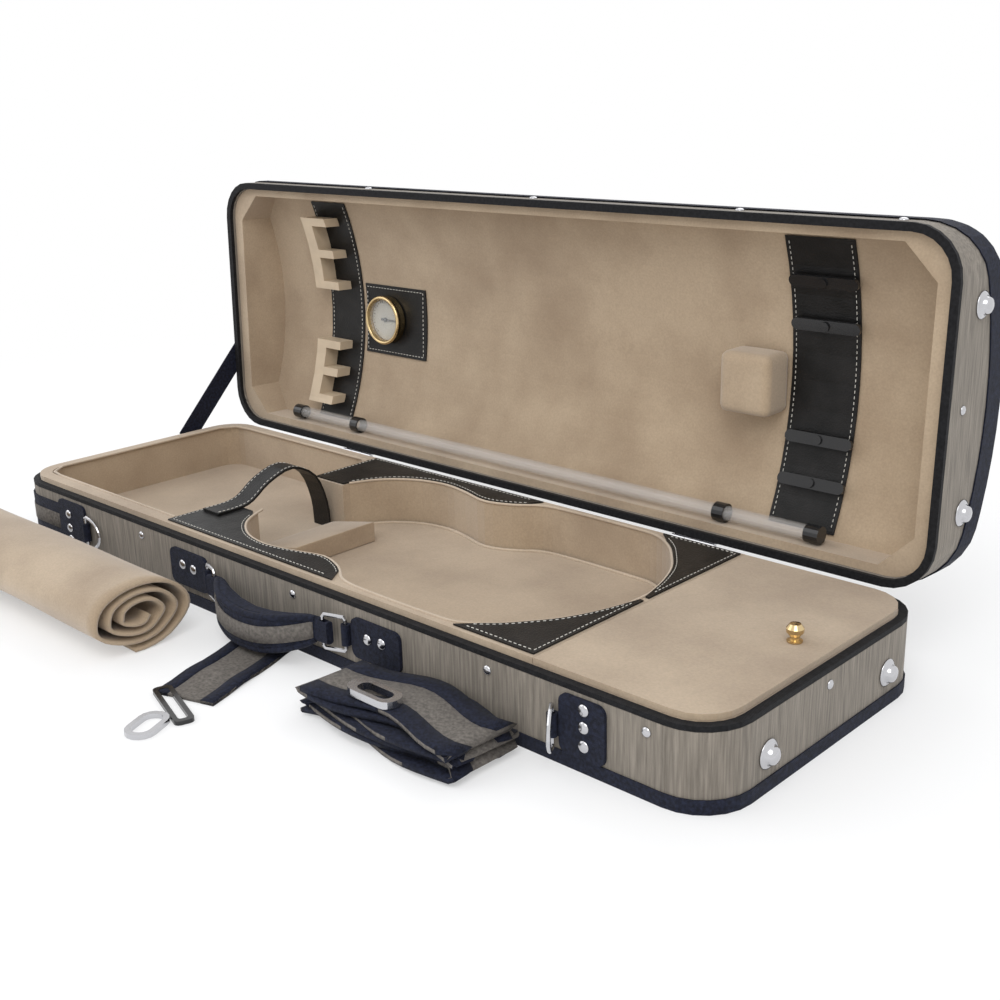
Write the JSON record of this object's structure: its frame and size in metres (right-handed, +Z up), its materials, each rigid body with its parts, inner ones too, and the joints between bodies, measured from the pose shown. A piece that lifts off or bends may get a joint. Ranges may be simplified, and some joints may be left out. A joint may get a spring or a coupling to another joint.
{
  "type": "violin case",
  "caption": "Oblong plywood violin case with an arched hinged lid, suede lining, bow holders, hygrometer, accessory compartment and a loose shoulder strap.",
  "frame": {"origin": "centre of the base's underside", "axes": "+X along the length, -Y out of the opening front, +Z up"},
  "size_m": [0.7988, 0.4972, 0.3094],
  "materials": {
    "canvas": "grey-brown streaked canvas over plywood",
    "navy": "navy webbing",
    "suede": "warm beige suede",
    "leather": "black leather, light stitching",
    "binding": "black binding",
    "chrome": "polished",
    "brass": "polished",
    "plastic": "glossy black",
    "holder": "beige",
    "dial": "plain printed dial",
    "clear": "clear plastic tube"
  },
  "bodies": {
    "base": {"base_shell": "canvas", "base_insert": "suede", "cavity_pad": "suede", "wedge_cushion": "suede", "panel_front_left": "leather", "panel_back_left": "leather", "panel_front_right": "leather", "panel_back_right": "leather", "neck_strap": "leather", "base_rim_binding": "binding", "base_edge_band": "navy", "base_end_foot_front": "chrome", "base_end_foot_back": "chrome", "handle_tab_left": "navy", "handle_tab_right": "navy", "strap_anchor_left": "navy", "strap_anchor_right": "navy", "end_wrap_band": "navy", "shoulder_strap": "navy", "strap_bundle": "navy", "strap_buckle": "plastic", "hook_left": "chrome", "hook_right": "chrome", "blanket_roll": "suede", "hinge_base_leaf_left": "chrome", "hinge_base_leaf_right": "chrome", "stay_strap": "navy"},
    "lid": {"lid_shell": "canvas", "lid_lining": "suede", "lid_rim_binding": "binding", "lid_edge_band": "navy", "bow_band_left": "leather", "bow_band_right": "leather", "bow_tip_holder_upper": "holder", "bow_tip_holder_lower": "holder", "hygrometer_patch": "leather", "hygrometer_case": "brass", "hygrometer_dial": "dial", "foam_block": "suede", "string_tube": "clear", "tube_clip_left": "plastic", "tube_clip_right": "plastic", "lid_end_foot_front": "chrome", "lid_end_foot_back": "chrome", "hinge_lid_leaf_left": "chrome", "hinge_lid_leaf_right": "chrome"},
    "compartment": {"compartment_lid": "suede", "compartment_knob": "brass"},
    "ring_left": {"handle_ring_left": "chrome"},
    "ring_right": {"handle_ring_right": "chrome"},
    "grip": {"handle_grip": "navy"},
    "d_left": {"dring_left": "chrome"},
    "d_right": {"dring_right": "chrome"},
    "clip_1": {"bow_clip_1": "plastic"},
    "clip_2": {"bow_clip_2": "plastic"},
    "clip_3": {"bow_clip_3": "plastic"},
    "clip_4": {"bow_clip_4": "plastic"},
    "needle": {"hygrometer_needle": "plastic"},
    "cap_left": {"tube_cap_left": "plastic"},
    "cap_right": {"tube_cap_right": "plastic"}
  },
  "joints": [
    {"name": "lid_hinge", "type": "hinge", "parent": "base", "child": "lid", "pos_m": [0, 0.1278, 0.056], "axis": [-1, 0, 0], "range_deg": [-91.8, 0], "deforming": ["stay_strap"]},
    {"name": "compartment_hinge", "type": "hinge", "parent": "base", "child": "compartment", "pos_m": [0.2535, 0, 0.0605], "axis": [0, -1, 0], "range_deg": [0, 100]},
    {"name": "ring_left_swing", "type": "hinge", "parent": "base", "child": "ring_left", "pos_m": [-0.084, -0.129, 0.031], "axis": [0, 0, -1], "range_deg": [0, 12]},
    {"name": "grip_swing", "type": "hinge", "parent": "ring_left", "child": "grip", "pos_m": [-0.066, -0.135, 0.031], "axis": [0, 0, -1], "range_deg": [-12, 0]},
    {"name": "ring_right_swing", "type": "hinge", "parent": "base", "child": "ring_right", "pos_m": [0.084, -0.129, 0.031], "axis": [0, 0, -1], "range_deg": [-12, 0]},
    {"name": "dring_left_swing", "type": "hinge", "parent": "base", "child": "d_left", "pos_m": [-0.2715, -0.129, 0.028], "axis": [0, 0, -1], "range_deg": [0, 120]},
    {"name": "dring_right_swing", "type": "hinge", "parent": "base", "child": "d_right", "pos_m": [0.278, -0.129, 0.027], "axis": [0, 0, 1], "range_deg": [-60, 40]},
    {"name": "clip_1_turn", "type": "hinge", "parent": "lid", "child": "clip_1", "pos_m": [0.2765, 0.17896, 0.25999], "axis": [0, 0.9672, 0.254], "range_deg": [0, 60]},
    {"name": "clip_2_turn", "type": "hinge", "parent": "lid", "child": "clip_2", "pos_m": [0.2765, 0.18555, 0.22647], "axis": [0, 0.9913, 0.1314], "range_deg": [0, 60]},
    {"name": "clip_3_turn", "type": "hinge", "parent": "lid", "child": "clip_3", "pos_m": [0.2765, 0.18303, 0.13911], "axis": [0, 0.9821, -0.1883], "range_deg": [0, 60]},
    {"name": "clip_4_turn", "type": "hinge", "parent": "lid", "child": "clip_4", "pos_m": [0.2765, 0.17472, 0.10665], "axis": [0, 0.9517, -0.307], "range_deg": [0, 60]},
    {"name": "needle_turn", "type": "hinge", "parent": "lid", "child": "needle", "pos_m": [-0.208, 0.18041, 0.17921], "axis": [0, 0.9995, -0.0314], "range_deg": [-130, 130]},
    {"name": "cap_left_slide", "type": "slide", "parent": "lid", "child": "cap_left", "axis": [-1, 0, 0], "range_m": [0, 0.03]},
    {"name": "cap_right_slide", "type": "slide", "parent": "lid", "child": "cap_right", "axis": [1, 0, 0], "range_m": [0, 0.03]}
  ],
  "couplings": [
    {"joint": "grip_swing", "follows": "ring_left_swing", "ratio": -1},
    {"joint": "ring_right_swing", "follows": "ring_left_swing", "ratio": -1}
  ]
}
